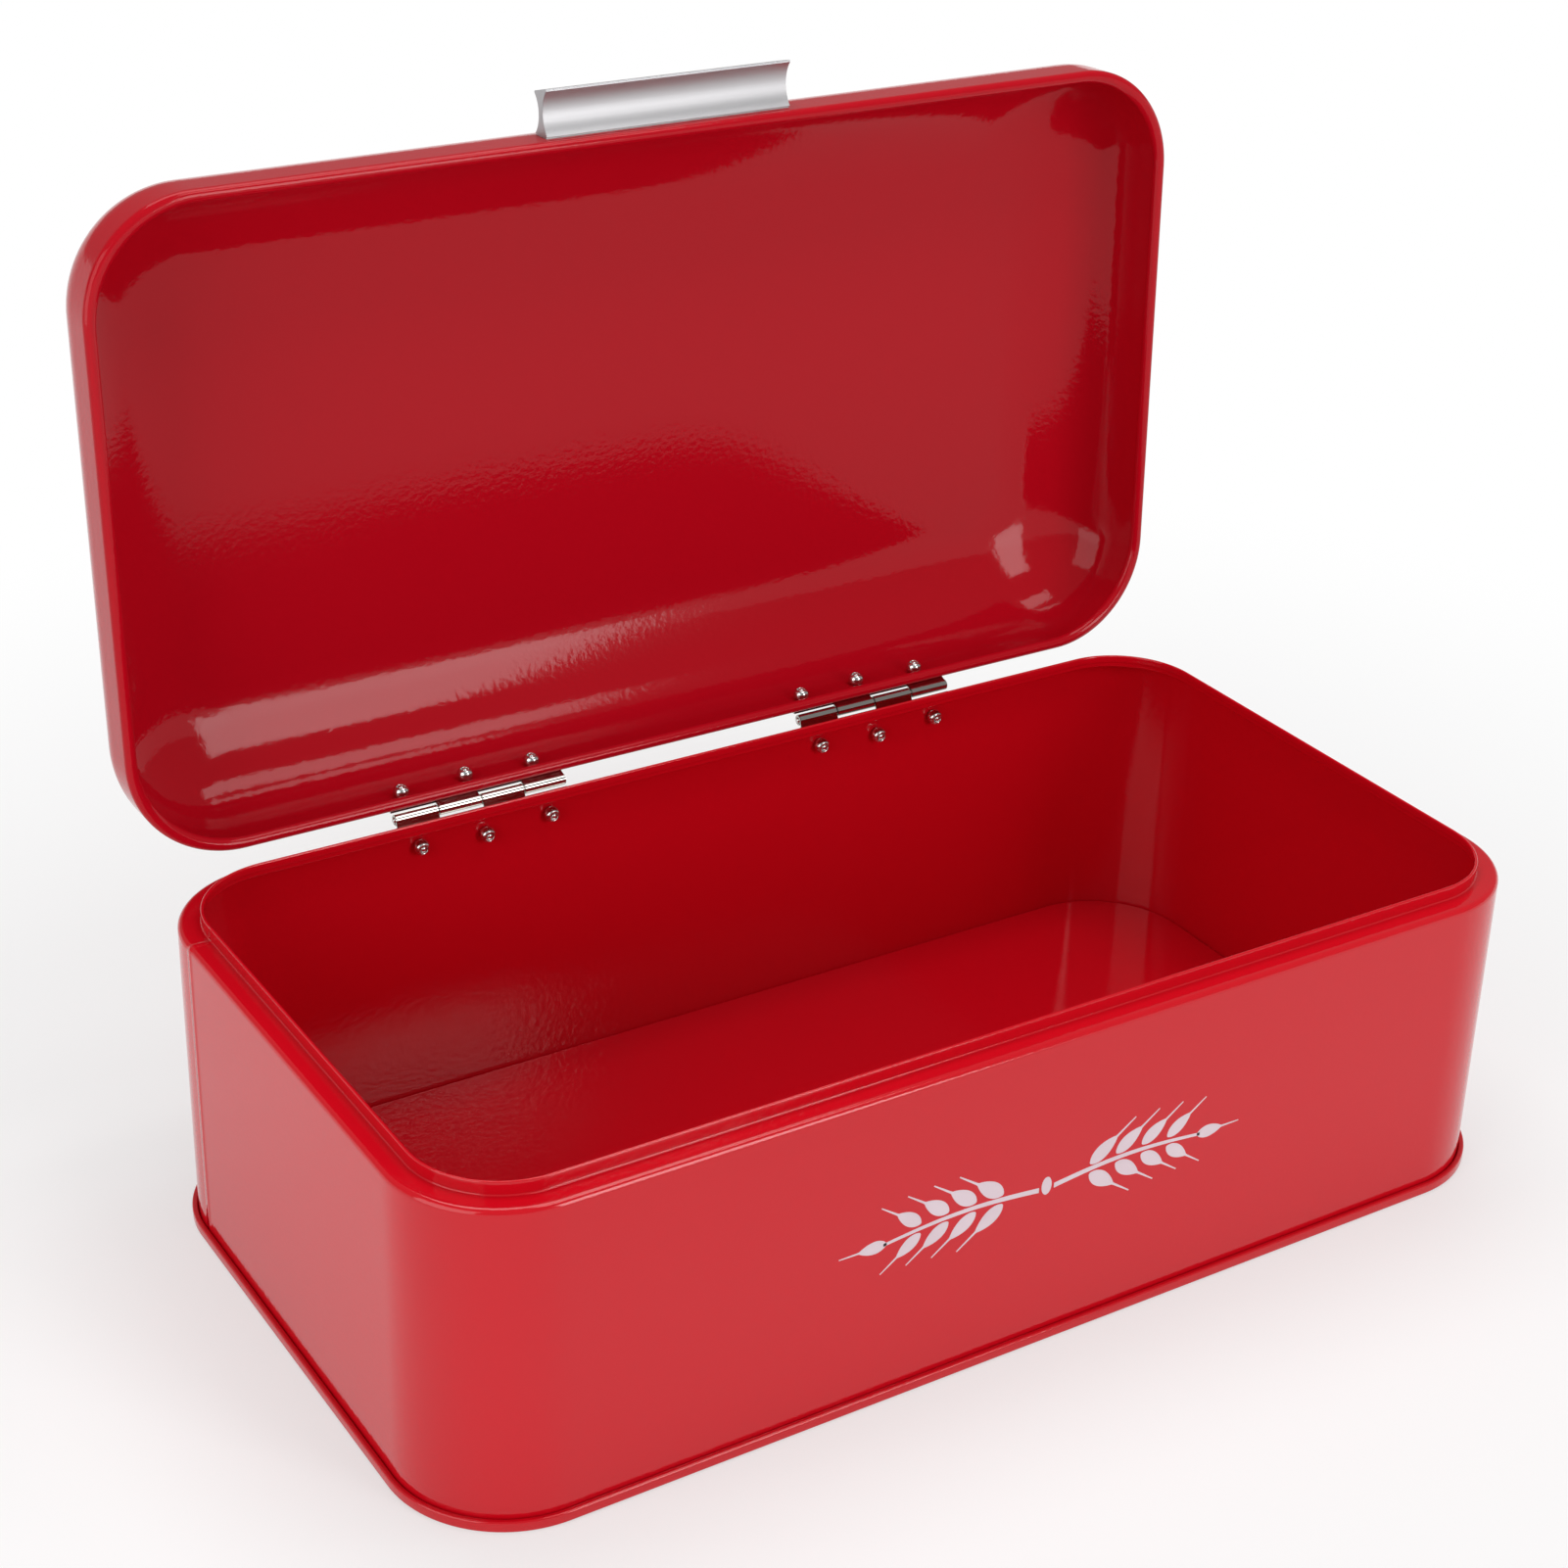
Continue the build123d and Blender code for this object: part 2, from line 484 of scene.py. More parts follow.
def new_material(name, colour, roughness, metallic=0.0):
    """A material whose constants sit on its own shader."""
    made = bpy.data.materials.new(name)
    made.use_nodes = True
    made.diffuse_color = (*colour, 1)
    shader = made.node_tree.nodes["Principled BSDF"]
    shader.inputs["Base Color"].default_value = (*colour, 1)
    shader.inputs["Roughness"].default_value = roughness
    shader.inputs["Metallic"].default_value = metallic
    return made


def add_bump(tree, height, distance):
    """Raises the surface by a height that varies, times a distance in metres."""
    bump = tree.nodes.new("ShaderNodeBump")
    bump.inputs["Distance"].default_value = distance
    tree.links.new(height, bump.inputs["Height"])
    tree.links.new(bump.outputs[0], tree.nodes["Principled BSDF"].inputs["Normal"])


def map_range(tree, value, source, target):
    """A node that maps a value from one range to another and holds it at both ends."""
    made = tree.nodes.new("ShaderNodeMapRange")
    keys = ("From Min", "From Max", "To Min", "To Max")
    for key, number in zip(keys, (*source, *target)):
        made.inputs[key].default_value = number
    tree.links.new(value, made.inputs["Value"])
    return made


def spread_value(tree, value, low, high, socket):
    """Maps a noise value from its usual middle range to low and high, and feeds a socket."""
    spread = map_range(tree, value, (0.3, 0.7), (low, high))
    tree.links.new(spread.outputs[0], tree.nodes["Principled BSDF"].inputs[socket])


def red_enamel(name, depth=0.56, gloss=0.5, seam=False):
    """Glossy red coat, baked on; the wall's own seam shows through it as a low ridge."""
    # depth is the red of the paint; the body's 0.56 is its own colour, and a lower value, as on
    # the lid, is painted shade.
    made = new_material(name, (depth, 0.0025, 0.01), 0.09)
    tree = made.node_tree
    shader = tree.nodes["Principled BSDF"]
    shader.inputs["IOR"].default_value = 1.45
    shader.inputs["Specular IOR Level"].default_value = gloss
    ripple = {"Peel Size": 0.0021, "Peel Height": 0.8, "Wave Height": 4.0}
    peel = group_node(tree, orange_peel, ripple)
    spread_value(tree, peel.outputs["Patches"], 0.07, 0.11, "Roughness")
    height = peel.outputs["Height"]
    if seam:
        height = add_seam_ridge(tree, height)
    add_bump(tree, height, 0.00006)
    return made


# The lapped seam up the left wall, in metres, and its rise in steps of the bump
seam_place, seam_width = 0.0725, 0.0013
seam_rise = 5.0
left_wall_from = -0.2


def add_seam_ridge(tree, height):
    """Adds the lapped seam that runs up the left wall to a height."""
    place = tree.nodes.new("ShaderNodeTexCoord")
    apart = tree.nodes.new("ShaderNodeSeparateXYZ")
    tree.links.new(place.outputs["Object"], apart.inputs[0])
    away = math_node(tree, "SUBTRACT", apart.outputs["Y"], seam_place)
    away = math_node(tree, "DIVIDE", away, seam_width)
    fall = math_node(tree, "MULTIPLY", math_node(tree, "MULTIPLY", away, away), -1.0)
    ridge = math_node(tree, "EXPONENT", fall)
    left_wall = math_node(tree, "LESS_THAN", apart.outputs["X"], left_wall_from)
    ridge = math_node(tree, "MULTIPLY", ridge, left_wall)
    ridge = math_node(tree, "MULTIPLY", ridge, seam_rise)
    return math_node(tree, "ADD", height, ridge)


body_red = red_enamel("body_red_enamel", seam=True)
base_red = red_enamel("base_red_enamel")
# The lid has the same red paint as the body; its darker red, 0.44 against 0.56, is painted shade
# that darkens the whole lid.
lid_red = red_enamel("lid_red_enamel", depth=0.44, gloss=0.22)


def bare_metal(name, colour, roughness, rough_spread, line_width, bump_height):
    """A metal with drawn lines, which vary its roughness and stand a little proud."""
    made = new_material(name, colour, roughness, 1.0)
    tree = made.node_tree
    lines = group_node(tree, drawn_grain, {"Line Width": line_width}).outputs["Lines"]
    low, high = roughness - rough_spread, roughness + rough_spread
    spread_value(tree, lines, low, high, "Roughness")
    add_bump(tree, lines, bump_height)
    return made


satin_aluminium = bare_metal(
    "satin_anodised_aluminium", (0.47, 0.465, 0.475), 0.48, 0.03, 0.00012, 0.00001
)
nickel = bare_metal("bright_nickel_plate", (0.5, 0.48, 0.45), 0.1, 0.03, 0.0004, 0.000006)
pin_steel = bare_metal("pin_steel", (0.62, 0.61, 0.6), 0.25, 0.05, 0.0003, 0.000005)
rivet_steel = bare_metal("rivet_steel", (0.66, 0.65, 0.64), 0.22, 0.05, 0.0004, 0.000006)
screw_steel = bare_metal("screw_steel", (0.62, 0.61, 0.6), 0.24, 0.05, 0.0004, 0.000006)


def pale_print():
    """Screen-printed ink, a little rougher than the coat under it, with the coat's ripple."""
    made = new_material("pale_grey_print", (0.68, 0.57, 0.62), 0.34)
    tree = made.node_tree
    ripple = {"Peel Size": 0.0012, "Peel Height": 0.8, "Wave Size": 0.01}
    peel = group_node(tree, orange_peel, ripple)
    tint = tree.nodes.new("ShaderNodeMix")
    tint.data_type = "RGBA"
    tint.inputs[6].default_value = (0.66, 0.54, 0.59, 1)
    tint.inputs[7].default_value = (0.71, 0.6, 0.65, 1)
    tree.links.new(peel.outputs["Patches"], tint.inputs[0])
    tree.links.new(tint.outputs[2], tree.nodes["Principled BSDF"].inputs["Base Color"])
    spread_value(tree, peel.outputs["Patches"], 0.3, 0.4, "Roughness")
    add_bump(tree, peel.outputs["Height"], 0.00005)
    return made


print_ink = pale_print()


# Body, base and lid


def body_section():
    """The wall, from its seam hook up over the shoulder and neck to the hem."""
    hook = half_sheet - 2 * seam_pitch
    floor = half_sheet + seam_pitch
    ledge = shoulder_height - half_sheet
    neck = neck_inset + half_sheet
    top = shoulder_height + neck_height - half_sheet
    hem = neck + sheet + fold_gap
    points = [
        (hook, floor + hook_length),
        (hook, floor),
        (half_sheet, floor),
        (half_sheet, ledge),
        (neck, ledge),
        (neck, top),
        (hem, top),
        (hem, top - hem_depth),
    ]
    radii = [0.3, 0.3, shoulder_round - half_sheet, 0.75, 0.29, 0.29]
    return sheet_loop(points, radii)


def open_section(points, radii, inner_end):
    """Both faces of a sheet whose flat panel is closed by a cap, from inside to outside."""
    middle = bent(points, radii)
    left, right = beside(middle, half_sheet), beside(middle, -half_sheet)
    far = round_end(left[-1], right[-1])
    start_left = Vector((inner_end, left[0].y))
    start_right = Vector((inner_end, right[0].y))
    return [start_left] + left + far + right[::-1] + [start_right]


def base_section():
    """The base plate, from its flat floor out round the rolled seam."""
    flat_from, cap_from = 30.0, 32.0
    tuck = half_sheet - seam_pitch
    outside = half_sheet - 3 * seam_pitch
    inside = half_sheet + sheet + fold_gap
    top = seam_height - half_sheet
    points = [
        (flat_from, base_rise),
        (inside, base_rise),
        (inside, half_sheet),
        (outside, half_sheet),
        (outside, top),
        (tuck, top),
        (tuck, top - hook_length + sheet),
    ]
    return open_section(points, [0.8, 0.5, 0.55, 0.5, 0.3], cap_from)


def lid_section():
    """The lid, from its flat top down the inside, round the curled rim and up the outside."""
    crown_steps, bead_steps = 36, 24
    bead_from = radians(52)
    tangent = rim_height + lid_height - lid_round
    top = rim_height + lid_height
    bead = bead_width / 2
    inner, outer = [], []
    for i in range(crown_steps + 1):
        angle = pi / 2 * (1 - i / crown_steps)
        for side, depth in ((outer, 0.0), (inner, sheet)):
            inset = lid_blend - (lid_blend - depth) * cos(angle)
            side.append(Vector((inset, tangent + (lid_round - depth) * sin(angle))))
    roll = []
    for i in range(bead_steps + 1):
        angle = bead_from - (bead_from + pi) * i / bead_steps
        roll.append(
            Vector((bead + bead * cos(angle), rim_height + bead + bead * sin(angle)))
        )
    blend = [
        Vector((sheet, rim_height + bead_width + 1.2)),
        Vector((sheet + 0.25, rim_height + bead_width + 0.35)),
    ]
    start = [Vector((lid_blend + 2, top - sheet))]
    end = [Vector((lid_blend + 2, top))]
    return with_margins(start + inner + blend + roll + outer[::-1] + end)


body_wall = sheet_piece("body_wall_enamelled", body_section(), body_red)
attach(body_wall, "box")
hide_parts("body_wall")

base_plate = sheet_piece("base_plate_enamelled", base_section(), base_red, cap=True)
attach(base_plate, "box")
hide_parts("base_plate")

lid_shell = sheet_piece(
    "lid_shell_enamelled", lid_section(), lid_red, opening_turn, cap=True, corner_shrink=0.55
)
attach(lid_shell, "lid")
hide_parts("lid_shell")


# Rivets, set from behind through leaf and sheet


def rivet_profile():
    """A set rivet as (radius, height): head on the leaf, shank, swollen tail and its stub."""
    tail_face = -sheet - tail_gap
    return [
        (0, leaf + 0.55),
        (0.75, leaf + 0.55),
        (0.85, leaf + 0.95),
        (1.5, leaf + rivet_head_height),
        (2.3, leaf + 0.75),
        (2.85, leaf + 0.35),
        (rivet_head_radius, leaf),
        (rivet_radius, leaf),
        (rivet_radius, tail_face),
        (2.25, tail_face),
        (2.65, tail_face - 0.4),
        (2.88, tail_face - 1.1),
        (2.93, tail_face - 1.8),
        (2.8, tail_face - 2.6),
        (2.5, tail_face - 3.2),
        (2.05, tail_face - 3.7),
        (1.7, tail_face - 3.8),
        (1.55, tail_face - 3.55),
        (1.5, tail_face - 2.9),
        (1.05, tail_face - 2.85),
        (1.0, tail_face - 3.6),
        (0.7, tail_face - 3.95),
        (0, tail_face - 4.05),
    ]


rivet = turned_piece("rivet_pattern", rivet_profile(), rivet_steel, 7)


def rivet_places(side):
    """Where the rivets go: side 1 is the lid's row and -1 is the body's."""
    places = []
    for hinge in (-hinge_spacing / 2, hinge_spacing / 2):
        for step in (-1, 0, 1):
            rise = rivet_row + (rivet_stagger if step == 0 else 0)
            places.append((hinge + step * rivet_pitch, box_depth / 2, axis_z + side * rise))
    return places


for name, side, body, turn in (
    ("body_rivets", -1, "box", None),
    ("lid_rivets", 1, "lid", opening_turn),
):
    values = {"Fastener": rivet, "Turn": (-pi / 2, 0, 0), "Material": rivet_steel}
    rivets = tidy_mesh(grown(name, rivet_places(side), set_fasteners, values), turn)
    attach(rivets, body)
    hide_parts(*[f"{name[:-1]}_{i}" for i in range(1, 7)])
bpy.data.objects.remove(rivet)


# Two ears of wheat, printed on the front


def flat_shape(outline, low, high):
    """A flat closed shape in the plane of the wall, between two depths in Y."""
    bm = bmesh.new()
    face = bm.faces.new([bm.verts.new((x, low, z)) for x, z in outline])
    bmesh.ops.recalc_face_normals(bm, faces=[face])
    pushed = bmesh.ops.extrude_face_region(bm, geom=[face])
    for item in pushed["geom"]:
        if isinstance(item, bmesh.types.BMVert):
            item.co.y = high
    bmesh.ops.recalc_face_normals(bm, faces=bm.faces)
    mesh = bpy.data.meshes.new("flat_shape")
    bm.to_mesh(mesh)
    bm.free()
    return mesh


def grain_outline():
    """A plump grain that ends in a long fine awn."""
    root, length, plump, thin, steps = 0.4, 13.0, 2.9, 0.35, 24
    upper = []
    for i in range(steps + 1):
        along = i / steps
        x = root + length * along
        width = plump * sin(pi * along**0.8) ** 0.75 if 0 < along < 1 else 0.0
        if x < length:
            upper.append((x, max(width, thin)))
    upper += [(13.6, 0.42), (22.0, 0.22)]
    return upper + [(x, -width) for x, width in reversed(upper)]


def stem_outline():
    """One stem with a slight bow, thinner towards its tip."""
    root, length, thick, taper, steps = 3.0, 60.0, 0.95, 0.4, 40
    upper, lower = [], []
    for i in range(steps + 1):
        x = root + length * i / steps
        width = thick - taper * i / steps
        upper.append((x, stem_rise(x) + width))
        lower.append((x, stem_rise(x) - width))
    return upper + lower[::-1]


def stem_rise(x):
    """How far the stem bows up at a place along it."""
    bow, reach = 2.6, 66.0
    return bow * sin(pi * min(x, reach) / reach)


def ear_tree():
    """Sets grains in pairs along a stem, each turned out from it, and adds the stem."""
    tree = Tree(
        "print_ear_of_wheat",
        [
            ("Places", "Geometry"),
            ("Grain", "Object"),
            ("Stem", "Object"),
            ("Spread", "Float", 0.6),
            ("Tip Size", "Float", 0.8),
            ("Material", "Material"),
        ],
    )
    given, math = tree.given, tree.math
    index = tree.node("GeometryNodeInputIndex").outputs[0]
    count = tree.node("GeometryNodeAttributeDomainSize", {"Geometry": given["Places"]})
    last = math("SUBTRACT", count.outputs["Point Count"], 1.0)
    is_tip = math("COMPARE", index, last, 0.5)
    side = math("SUBTRACT", 1.0, math("MULTIPLY", math("MODULO", index, 2.0), 2.0))
    side = math("MULTIPLY", side, math("SUBTRACT", 1.0, is_tip))
    lean = math("MULTIPLY", side, math("MULTIPLY", given["Spread"], -1.0))
    turn = tree.node("ShaderNodeCombineXYZ", {"Y": lean})
    shrink = math("SUBTRACT", 1.0, given["Tip Size"])
    shrink = math("MULTIPLY", math("DIVIDE", index, last), shrink)
    size = math("SUBTRACT", 1.0, shrink)
    shape = tree.node("GeometryNodeObjectInfo", {"Object": given["Grain"]})
    scale = tree.node("ShaderNodeCombineXYZ", {"X": size, "Y": 1.0, "Z": size})
    spread = tree.node(
        "GeometryNodeInstanceOnPoints",
        {
            "Points": given["Places"],
            "Instance": shape.outputs["Geometry"],
            "Rotation": turn.outputs[0],
            "Scale": scale.outputs[0],
        },
    )
    stem = tree.node("GeometryNodeObjectInfo", {"Object": given["Stem"]})
    together = tree.node("GeometryNodeJoinGeometry")
    tree.link(spread.outputs[0], together.inputs[0])
    tree.link(stem.outputs["Geometry"], together.inputs[0])
    return tree.end_painted(together.outputs[0])


def grain_places():
    """Pairs of points beside the stem, and the tip's own."""
    first, pitch, beside_stem, tip = 17.0, 10.6, 1.7, 61.5
    places = []
    for pair in range(4):
        x = first + pitch * pair
        for side in (1, -1):
            places.append((x, 0, stem_rise(x) + side * beside_stem))
    return places + [(tip, 0, stem_rise(tip))]


print_low, print_high = -box_depth / 2 + 0.02, -box_depth / 2 - 0.06
grain = new_object("grain_pattern", flat_shape(grain_outline(), print_low, print_high))
stem = new_object("stem_pattern", flat_shape(stem_outline(), print_low, print_high))
ear_values = {
    "Grain": grain,
    "Stem": stem,
    "Spread": 0.62,
    "Tip Size": 0.82,
    "Material": print_ink,
}
ear = grown("right_ear", grain_places(), ear_tree(), ear_values)
bpy.data.objects.remove(grain)
bpy.data.objects.remove(stem)


def knot_outline():
    """The knot between the ears, an upright oval."""
    half_steps = 12
    turns = [pi * i / half_steps for i in range(2 * half_steps)]
    return [(2.0 * cos(turn), 1.2 + 3.4 * sin(turn)) for turn in turns]


def both_ears(name, ear):
    """The ear and its mirror image, end to end, with the knot that ties them."""
    bm = bmesh.new()
    bm.from_mesh(ear.data)
    half = bmesh.ops.duplicate(bm, geom=bm.verts[:] + bm.edges[:] + bm.faces[:])["geom"]
    for item in half:
        if isinstance(item, bmesh.types.BMVert):
            item.co.x = -item.co.x
    bm.from_mesh(flat_shape(knot_outline(), print_low, print_high))
    bmesh.ops.recalc_face_normals(bm, faces=bm.faces)
    place = to_metres @ Matrix.Translation(print_centre)
    bmesh.ops.transform(bm, matrix=place, verts=bm.verts)
    for face in bm.faces:
        face.material_index = 0
    bm.to_mesh(ear.data)
    bm.free()
    ear.data.materials.clear()
    ear.data.materials.append(print_ink)
    ear.name = ear.data.name = name
    return ear


print_centre = Vector((1.5, 0, 60.0))
wheat_print = both_ears("wheat_print", ear)
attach(wheat_print, "box")


# Hinge leaves, each a sheet rolled into knuckles round the pin


def pushed_along_x(name, outline, start, length, material, edge=0.0):
    """A closed outline (y, z) drawn out along X, with its end edges eased."""
    bm = bmesh.new()
    face = bm.faces.new([bm.verts.new((start, y, z)) for y, z in outline])
    pushed = bmesh.ops.extrude_face_region(bm, geom=[face])["geom"]
    for item in pushed:
        if isinstance(item, bmesh.types.BMVert):
            item.co.x += length
    bmesh.ops.recalc_face_normals(bm, faces=bm.faces)
    if edge:
        ends = [e for e in bm.edges if abs(e.verts[0].co.x - e.verts[1].co.x) < 1e-6]
        bmesh.ops.bevel(
            bm, geom=ends, offset=edge, segments=2, affect="EDGES", clamp_overlap=True
        )
    mesh = bpy.data.meshes.new(name)
    bm.to_mesh(mesh)
    bm.free()
    mesh.materials.append(material)
    return new_object(name, mesh)


def joined(name, parts):
    """One object from several, each a closed shape."""
    bm = bmesh.new()
    for part in parts:
        bm.from_mesh(part.data)
    mesh = bpy.data.meshes.new(name)
    bm.to_mesh(mesh)
    bm.free()
    mesh.materials.append(parts[0].data.materials[0])
    for part in parts:
        bpy.data.objects.remove(part)
    return new_object(name, mesh)


def set_in_place(piece, move, turn=None, sharp=35.0):
    """Moves a mesh in millimetres to its place in metres, flat where its edges are sharp."""
    bm = bmesh.new()
    bm.from_mesh(piece.data)
    place = to_metres @ (turn or Matrix.Identity(4)) @ move
    bmesh.ops.transform(bm, matrix=place, verts=bm.verts)
    bmesh.ops.recalc_face_normals(bm, faces=bm.faces)
    for face in bm.faces:
        face.smooth = True
    for edge in bm.edges:
        edge.smooth = len(edge.link_faces) == 2 and edge.calc_face_angle(0) < radians(sharp)
    bm.to_mesh(piece.data)
    bm.free()
    return piece


def knuckle_outline():
    """The sheet seen end on: a short rise from the leaf, then rolled round the pin."""
    roll = barrel_radius - leaf / 2
    flat = leaf / 2 - axis_back
    sweep, steps = radians(318), 30
    line = [Vector((flat, -plate_start)), Vector((flat + 0.06, -1.8))]
    line += [Vector((-roll - 0.3, -1.1)), Vector((-roll - 0.05, -0.4))]
    for i in range(steps + 1):
        angle = pi - sweep * i / steps
        line.append(Vector((roll * cos(angle), roll * sin(angle))))
    return beside(line, leaf / 2) + beside(line, -leaf / 2)[::-1]


def plate_outline():
    """The flat of the leaf, lying along X, with two rounded corners."""
    points, steps = [], 6
    low, high, end = -leaf_reach, -plate_start, hinge_length / 2
    for centre, first in ((-end + leaf_corner, pi), (end - leaf_corner, -pi / 2)):
        for i in range(steps + 1):
            angle = first + pi / 2 * i / steps
            x = centre + leaf_corner * cos(angle)
            points.append((x, low + leaf_corner + leaf_corner * sin(angle)))
    return points + [(end, high), (-end, high)]


def hinge_leaf(name, side, material):
    """Plate and knuckles, with the pin's axis along X through the origin."""
    plate_mesh = flat_shape(plate_outline(), -axis_back, leaf - axis_back)
    plate_mesh.materials.append(material)
    parts = [new_object(name + "_plate", plate_mesh)]
    pitch = hinge_length / knuckle_count
    for number in range(0 if side < 0 else 1, knuckle_count, 2):
        start = number * pitch - hinge_length / 2 + knuckle_gap / 2
        length = pitch - knuckle_gap
        knuckle = pushed_along_x(
            name + "_knuckle", knuckle_outline(), start, length, material, knuckle_edge
        )
        parts.append(knuckle)
    leaf_piece = joined(name, parts)
    if side > 0:
        for vertex in leaf_piece.data.vertices:
            vertex.co.z = -vertex.co.z
    return leaf_piece


def pin_profile():
    """The pin as (radius, height), with eased ends."""
    half = hinge_length / 2 + pin_stub
    end = [(0, half), (0.45, half - 0.04), (0.8, half - 0.16), (pin_radius, half - 0.42)]
    return end + [(r, -z) for r, z in reversed(end)]


for word, x in (("left", -hinge_spacing / 2), ("right", hinge_spacing / 2)):
    at_hinge = Matrix.Translation((x, axis_y, axis_z))
    for body, side, turn in (("body", -1, None), ("lid", 1, opening_turn)):
        name = f"{word}_{body}_leaf"
        piece = set_in_place(hinge_leaf(name, side, nickel), at_hinge, turn)
        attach(piece, "box" if body == "body" else "lid")
        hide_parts(f"{word}_hinge_{body}_leaf")
    pin = turned_piece(f"{word}_pin", pin_profile(), pin_steel, 7)
    set_in_place(pin, at_hinge @ Matrix.Rotation(pi / 2, 4, "Y"), None, 50.0)
    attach(pin, "box")
    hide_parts(f"{word}_hinge_pin")


# Handle, an extruded bar hollowed above and below, and its two screws


def handle_side(reach):
    """One side of the bar seen end on, as (out, up): grooved root, hollow and rounded tip."""
    half, dip = handle_thickness / 2, handle_waist / 2
    groove = half - handle_groove
    chord, sag = reach / 2 - handle_lip, half - dip
    radius = (chord * chord + sag * sag) / (2 * sag)
    swing = atan2(chord, radius - sag)
    side = [(0, groove), (0.4, groove), (0.55, half - 0.55), (0.6, half - 0.1)]
    half_steps = 16
    for i in range(2 * half_steps + 1):
        angle = swing * (i / half_steps - 1)
        out = reach / 2 + radius * sin(angle)
        side.append((out, dip + radius * (1 - cos(angle))))
    ease = handle_tip_round
    for i in range(6):
        angle = pi / 10 * i
        out = reach - ease * (1 - sin(angle))
        side.append((out, half - ease * (1 - cos(angle))))
    return side


def handle_outline():
    """The bar on the shut lid, seen end on, as (y, z): its upper lip is the shorter."""
    upper, lower = handle_side(handle_reach - handle_slant), handle_side(handle_reach)
    return [(-out, up) for out, up in upper] + [(-out, -up) for out, up in reversed(lower)]


handle = pushed_along_x(
    "handle_bar",
    handle_outline(),
    -handle_length / 2,
    handle_length,
    satin_aluminium,
    handle_edge,
)
handle_spot = Matrix.Translation((0, -box_depth / 2, rim_height + handle_height))
set_in_place(handle, handle_spot, opening_turn, 28.0)
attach(handle, "lid")
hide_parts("handle")


def screw_profile():
    """A pan head seen from the inside of the lid, its shank towards +Z."""
    top = -sheet - screw_head_height
    return [
        (0, top),
        (1.2, top + 0.03),
        (2.0, top + 0.2),
        (2.55, top + 0.55),
        (screw_head_radius, top + 1.05),
        (screw_head_radius, -sheet),
        (screw_radius, -sheet),
        (screw_radius, screw_depth - 0.4),
        (screw_radius - 0.4, screw_depth),
        (0, screw_depth),
    ]


def cross_recess(piece):
    """Cuts the driver's cross into the head."""
    top = -sheet - screw_head_height
    for turn in (0, pi / 2):
        place = Matrix.Rotation(turn, 4, "Z") @ Matrix.Translation((0, 0, top))
        bm = bmesh.new()
        block = bmesh.ops.create_cube(bm, size=1.0, matrix=place)
        for vertex in block["verts"]:
            deep = vertex.co.z > top
            along, across = recess_floor if deep else recess_mouth
            size = (along, across) if turn == 0 else (across, along)
            vertex.co.x = size[0] / 2 * (1 if vertex.co.x > 0 else -1)
            vertex.co.y = size[1] / 2 * (1 if vertex.co.y > 0 else -1)
            vertex.co.z = top + (recess_depth if deep else -0.5)
        bmesh.ops.recalc_face_normals(bm, faces=bm.faces)
        mesh = bpy.data.meshes.new("cross")
        bm.to_mesh(mesh)
        bm.free()
        mesh.materials.append(screw_steel)
        cutter = new_object("cross", mesh)
        modifier = piece.modifiers.new("cross", "BOOLEAN")
        modifier.operation = "DIFFERENCE"
        modifier.solver = "EXACT"
        modifier.object = cutter
        bpy.context.view_layer.update()
        evaluated = piece.evaluated_get(bpy.context.evaluated_depsgraph_get())
        result = bpy.data.meshes.new_from_object(evaluated)
        piece.modifiers.clear()
        piece.data = result
        bpy.data.objects.remove(cutter)
    return piece


for word, x in (("left", -screw_spacing / 2), ("right", screw_spacing / 2)):
    screw = cross_recess(turned_piece(f"{word}_screw", screw_profile(), screw_steel, 8))
    facing = Matrix.Rotation(pi / 2, 4, "X") @ Matrix.Rotation(pi / 4, 4, "Z")
    at_screw = handle_spot @ Matrix.Translation((x, 0, 0)) @ facing
    set_in_place(screw, at_screw, opening_turn)
    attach(screw, "lid")
    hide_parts(f"{word}_handle_screw")


# Floor, light and camera


def studio_floor(half, rim):
    """A wide floor with a low rim far away, so that a low camera sees no edge to it."""
    ring = [(-half, -half), (half, -half), (half, half), (-half, half)]
    corners = [(x, y, -0.0003) for x, y in ring] + [(x, y, rim) for x, y in ring]
    faces = [(0, 1, 2, 3)] + [(i, i + 4, (i + 1) % 4 + 4, (i + 1) % 4) for i in range(4)]
    mesh = bpy.data.meshes.new("floor")
    mesh.from_pydata(corners, [], faces)
    mesh.materials.append(pale_floor_finish())
    made = new_object("floor", mesh)


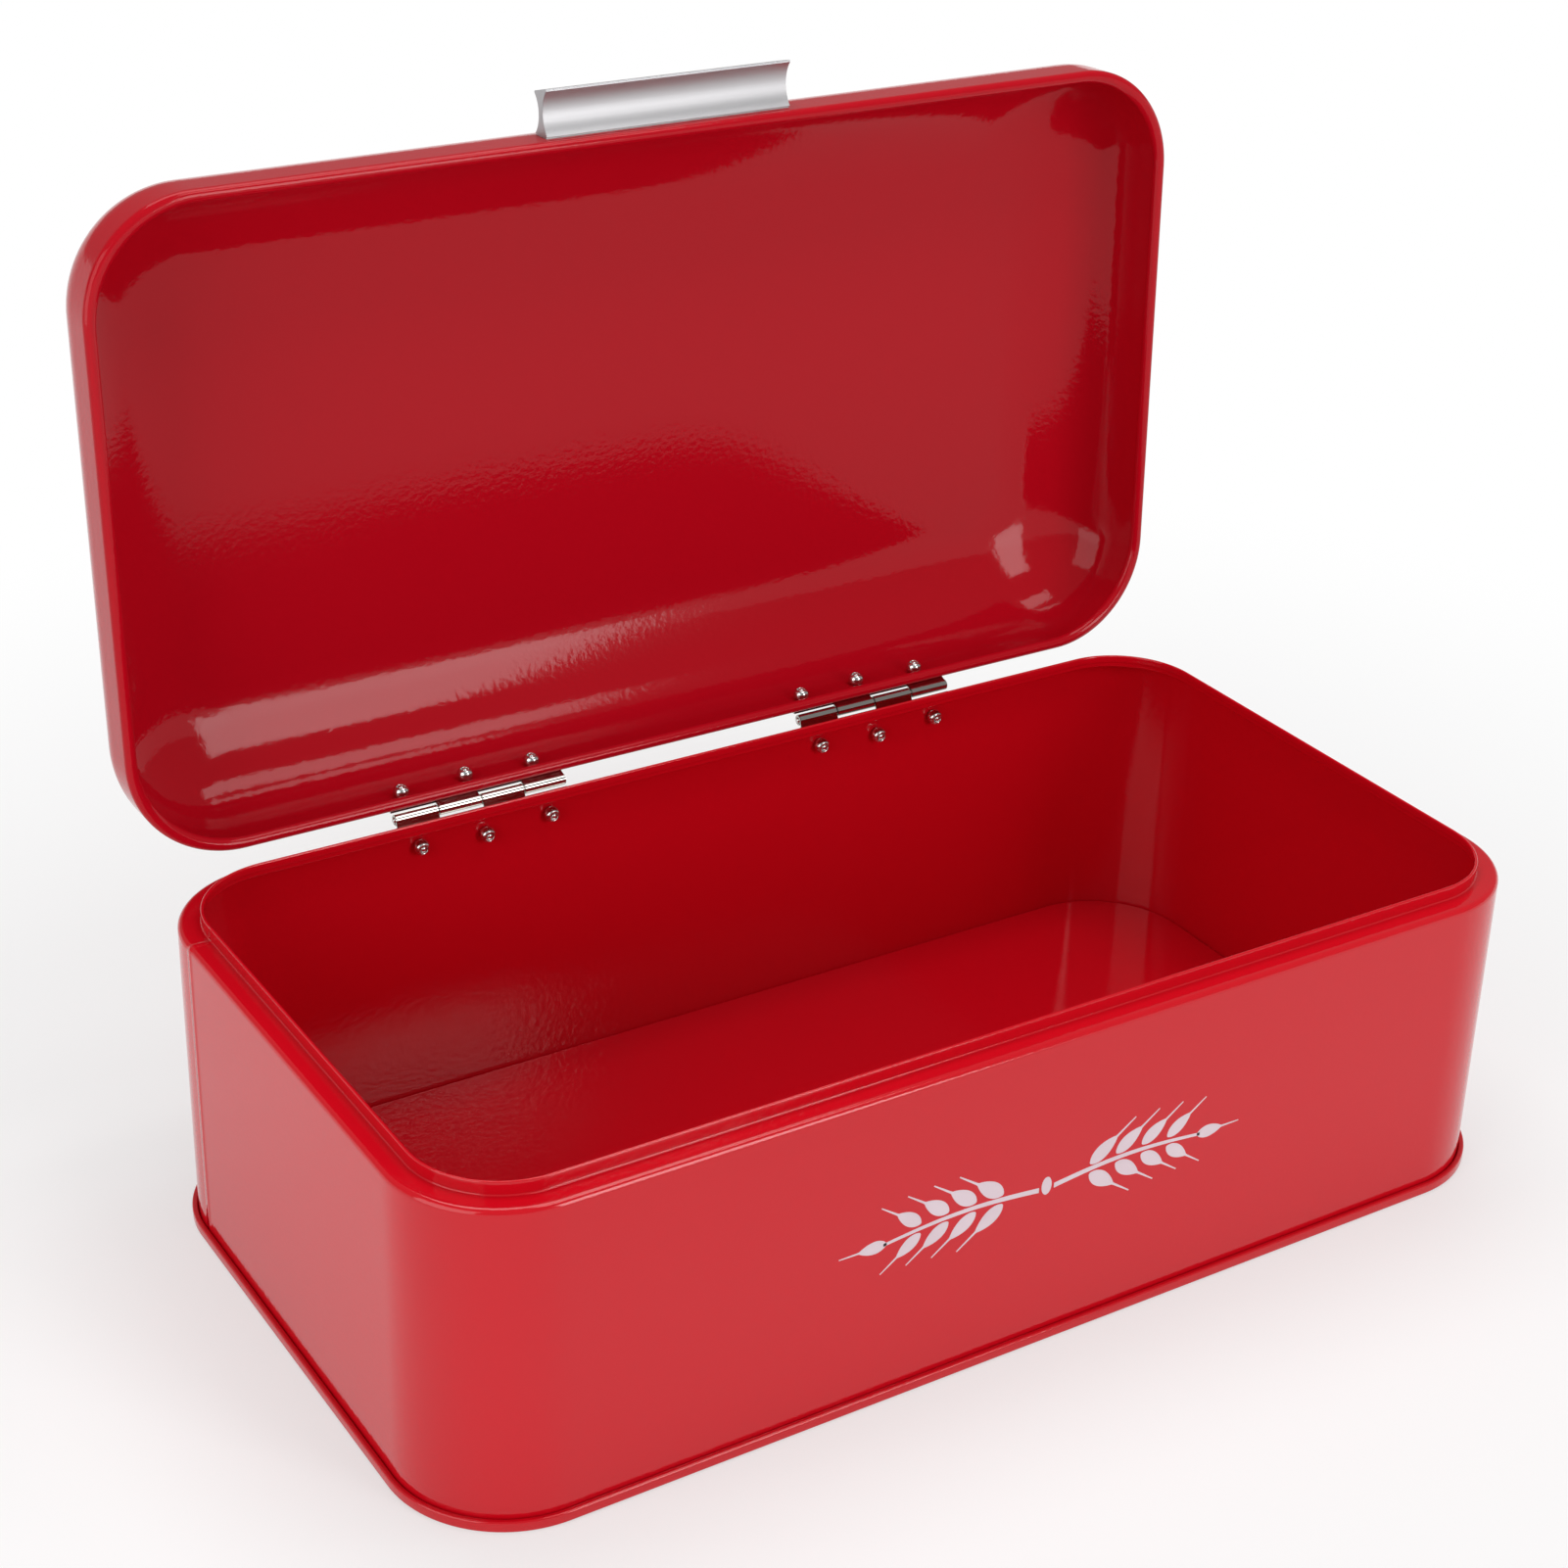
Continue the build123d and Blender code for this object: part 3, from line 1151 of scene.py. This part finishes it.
def pale_floor_finish():
    """A pale matt floor that looks white to the eye and in reflections, and keeps its shadow."""
    made = new_material("pale_floor", (0.86, 0.86, 0.86), 0.9)
    tree = made.node_tree
    shader = tree.nodes["Principled BSDF"]
    shader.inputs["Specular IOR Level"].default_value = 0.0
    path = tree.nodes.new("ShaderNodeLightPath").outputs
    seen = math_node(tree, "MAXIMUM", path["Is Camera Ray"], path["Is Glossy Ray"])
    seen = math_node(tree, "MAXIMUM", seen, path["Is Transmission Ray"])
    place = tree.nodes.new("ShaderNodeTexCoord")
    reach = tree.nodes.new("ShaderNodeVectorMath")
    reach.operation = "LENGTH"
    tree.links.new(place.outputs["Object"], reach.inputs[0])
    far = map_range(tree, reach.outputs["Value"], (0.2, 0.7), (0.5, 1.0))
    far.interpolation_type = "SMOOTHSTEP"
    glow = tree.nodes.new("ShaderNodeEmission")
    both = tree.nodes.new("ShaderNodeMixShader")
    tree.links.new(math_node(tree, "MULTIPLY", seen, far.outputs[0]), both.inputs[0])
    tree.links.new(shader.outputs[0], both.inputs[1])
    tree.links.new(glow.outputs[0], both.inputs[2])
    tree.links.new(both.outputs[0], tree.nodes["Material Output"].inputs["Surface"])
    return made


studio_floor(half=14.0, rim=2.0)

world = bpy.data.worlds.new("studio")
bpy.context.scene.world = world
world.use_nodes = True
sky = world.node_tree.nodes["Background"]
sky.inputs["Color"].default_value = (1, 1, 1, 1)
sky.inputs["Strength"].default_value = 0.32


def softbox(name, place, aim, size, brightness, roll=0.0):
    """A soft lamp; its brightness is the level at which it shows in a mirror."""
    lamp = bpy.data.lights.new(name, "AREA")
    lamp.shape = "RECTANGLE"
    lamp.size, lamp.size_y = size
    lamp.energy = brightness * pi * size[0] * size[1]
    made = new_object(name, lamp)
    turn = (Vector(aim) - Vector(place)).to_track_quat("-Z", "Y").to_matrix().to_4x4()
    made.matrix_world = Matrix.Translation(place) @ turn @ Matrix.Rotation(radians(roll), 4, "Z")
    made.visible_camera = False


softbox("softbox_front", (0.57, -1.6, 0.6), (0, 0.1, 0.2), (0.5, 1.12), 6.8, 6)
softbox("softbox_left", (-1.1, -0.3, 0.52), (0, 0, 0.15), (0.95, 0.9), 2.3)
softbox("softbox_above", (0.27, -0.32, 1.2), (0.2, 0, 0.1), (0.55, 0.3), 4.5)
softbox("softbox_behind", (0.1, 0.35, 1.5), (0, 0, 0), (1.1, 0.8), 3.4)

camera_data = bpy.data.cameras.new("camera")
camera = new_object("camera", camera_data)
bpy.context.scene.camera = camera
camera_data.sensor_width = 36.0
camera_data.lens = 68.54
# The camera's right, up and back directions, fitted to the photograph
camera_axes = Matrix(
    (
        (0.8496, -0.5269, 0.0259),
        (0.2204, 0.3992, 0.89),
        (-0.4792, -0.7504, 0.4552),
    )
)
camera_place = Matrix.Translation((-0.5026, -0.73983, 0.61186))
camera.matrix_world = camera_place @ camera_axes.transposed().to_4x4()

bpy.context.scene.view_settings.view_transform = "Standard"
